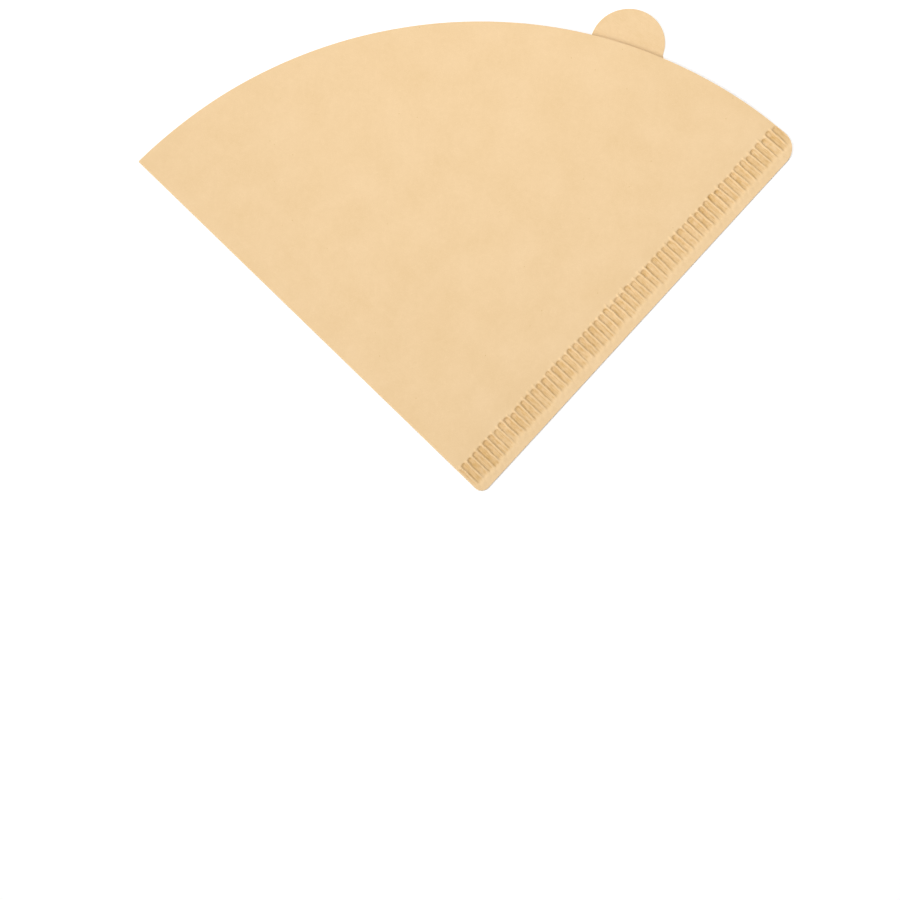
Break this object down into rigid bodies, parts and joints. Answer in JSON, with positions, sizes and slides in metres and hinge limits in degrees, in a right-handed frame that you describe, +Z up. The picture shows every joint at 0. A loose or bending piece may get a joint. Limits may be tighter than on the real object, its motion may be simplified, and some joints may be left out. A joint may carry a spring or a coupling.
{
  "type": "paper coffee filter",
  "caption": "Flat-folded paper cone filter: a fan-shaped pocket closed by a fold and a crimped seam, with a round pull tab at its open rim.",
  "frame": {"origin": "under the middle of the bounding box, on the surface that the filter lies on", "axes": "+X across the filter from its folded edge to its crimped seam, +Y from the point of the pocket to its mouth, +Z up from the surface"},
  "size_m": [0.177, 0.131, 0.0018],
  "materials": {
    "paper": "uncoated, unbleached filter paper, matte and smooth"
  },
  "bodies": {
    "root": {"paper_filter": "paper"}
  },
  "joints": []
}
